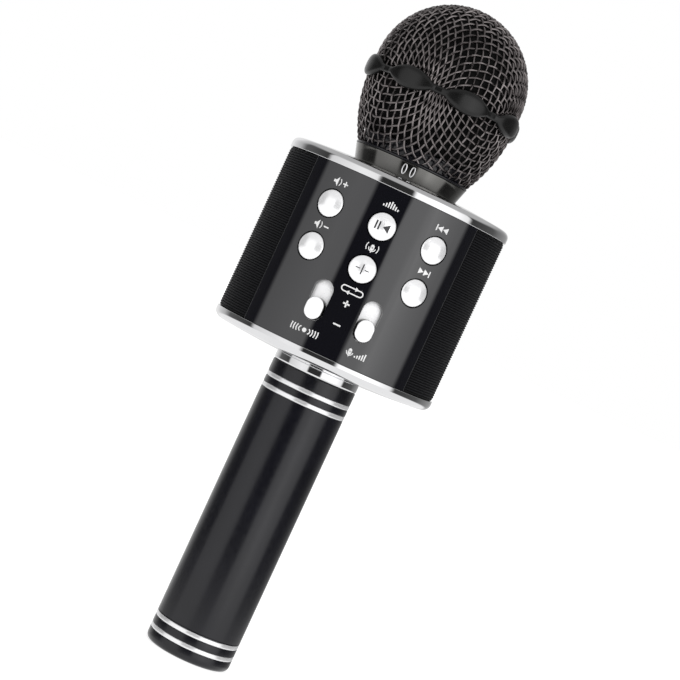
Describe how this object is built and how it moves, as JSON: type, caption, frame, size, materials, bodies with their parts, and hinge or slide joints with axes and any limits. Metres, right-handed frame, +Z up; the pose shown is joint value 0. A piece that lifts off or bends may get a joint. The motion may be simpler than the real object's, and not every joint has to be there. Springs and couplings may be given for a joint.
{
  "type": "karaoke microphone",
  "caption": "Handheld karaoke microphone with a woven ball grille, a round speaker body with a button panel, and a turned black handle with a screw-off tail.",
  "frame": {"origin": "centre of the flat tail face that the microphone stands on", "axes": "+Z up the microphone's axis towards the grille, -Y out of the control panel, +X to the right of the control panel as seen from the front"},
  "size_m": [0.0816, 0.0835, 0.2451],
  "materials": {
    "black_mesh": "woven wire, dark bronze lacquer",
    "gloss_black": "piano black",
    "chrome": "polished",
    "dark_chrome": "polished dark",
    "satin_black": "satin lacquer",
    "black_cloth": "ribbed speaker cloth",
    "matte_black": "moulded",
    "grey_plastic": "moulded",
    "rubber_black": "matte",
    "foam_black": "open foam",
    "steel": "plain",
    "magnet_grey": "sintered",
    "paper_cone": "pressed pulp",
    "board_green": "solder mask",
    "gold_contact": "plated",
    "cell_wrap": "shrink wrap",
    "light_guide": "frosted"
  },
  "bodies": {
    "microphone": {"capsule_mount": "rubber_black", "mic_capsule": "steel", "neck_collar": "dark_chrome", "top_end_plate": "chrome", "bottom_end_plate": "chrome", "front_panel": "gloss_black", "rear_panel": "gloss_black", "side_frame_left": "matte_black", "side_frame_right": "matte_black", "side_cloth_left": "black_cloth", "side_cloth_right": "black_cloth", "inner_chassis": "grey_plastic", "end_plate_screws": "steel", "speaker_basket_left": "steel", "speaker_basket_right": "steel", "speaker_cone_left": "paper_cone", "speaker_cone_right": "paper_cone", "speaker_magnet_left": "magnet_grey", "speaker_magnet_right": "magnet_grey", "control_board": "board_green", "button_switches": "matte_black", "slide_pots": "steel", "main_board": "board_green", "charging_port": "steel", "headphone_jack": "matte_black", "card_slot": "steel", "status_led": "light_guide", "power_switch_case": "steel", "handle_collar": "chrome", "handle_tube": "satin_black", "upper_trim_rings": "chrome", "cell_sleeve": "grey_plastic", "battery_cell": "cell_wrap", "cell_top_contact": "gold_contact"},
    "grille_head": {"grille_dome": "black_mesh", "grille_lower": "black_mesh", "anti_roll_ring": "gloss_black", "grille_collar": "satin_black", "foam_liner": "foam_black"},
    "tail_end": {"tail_cap": "satin_black", "tail_trim_rings": "chrome", "cell_spring": "steel"},
    "power_switch": {"power_switch_knob": "chrome"},
    "volume_up": {"button_volume_up": "chrome"},
    "volume_down": {"button_volume_down": "chrome"},
    "play": {"button_play": "chrome"},
    "mode": {"button_mode": "chrome"},
    "previous": {"button_previous": "chrome"},
    "next": {"button_next": "chrome"},
    "echo": {"slider_echo": "chrome"},
    "volume": {"slider_volume": "chrome"}
  },
  "joints": [
    {"name": "volume_up_press", "type": "slide", "parent": "microphone", "child": "volume_up", "axis": [0.4664, 0.8846, 0], "range_m": [0, 0.0008], "stiffness_N_per_m": 1200, "springref_m": -0.0006},
    {"name": "volume_down_press", "type": "slide", "parent": "microphone", "child": "volume_down", "axis": [0.4664, 0.8846, 0], "range_m": [0, 0.0008], "stiffness_N_per_m": 1200, "springref_m": -0.0006},
    {"name": "play_press", "type": "slide", "parent": "microphone", "child": "play", "axis": [0, 1, 0], "range_m": [0, 0.0008], "stiffness_N_per_m": 1200, "springref_m": -0.0006},
    {"name": "mode_press", "type": "slide", "parent": "microphone", "child": "mode", "axis": [0, 1, 0], "range_m": [0, 0.0008], "stiffness_N_per_m": 1200, "springref_m": -0.0006},
    {"name": "previous_press", "type": "slide", "parent": "microphone", "child": "previous", "axis": [-0.4664, 0.8846, 0], "range_m": [0, 0.0008], "stiffness_N_per_m": 1200, "springref_m": -0.0006},
    {"name": "next_press", "type": "slide", "parent": "microphone", "child": "next", "axis": [-0.4664, 0.8846, 0], "range_m": [0, 0.0008], "stiffness_N_per_m": 1200, "springref_m": -0.0006},
    {"name": "echo_slide", "type": "slide", "parent": "microphone", "child": "echo", "axis": [0, 0, 1], "range_m": [0, 0.006]},
    {"name": "volume_slide", "type": "slide", "parent": "microphone", "child": "volume", "axis": [0, 0, 1], "range_m": [0, 0.006]},
    {"name": "power_slide", "type": "slide", "parent": "microphone", "child": "power_switch", "axis": [0, 0, 1], "range_m": [0, 0.0036]},
    {"name": "grille_unscrew", "type": "slide", "parent": "microphone", "child": "grille_head", "axis": [0, 0, 1], "range_m": [0, 0.012]},
    {"name": "tail_unscrew", "type": "slide", "parent": "microphone", "child": "tail_end", "axis": [0, 0, -1], "range_m": [0, 0.016]}
  ]
}
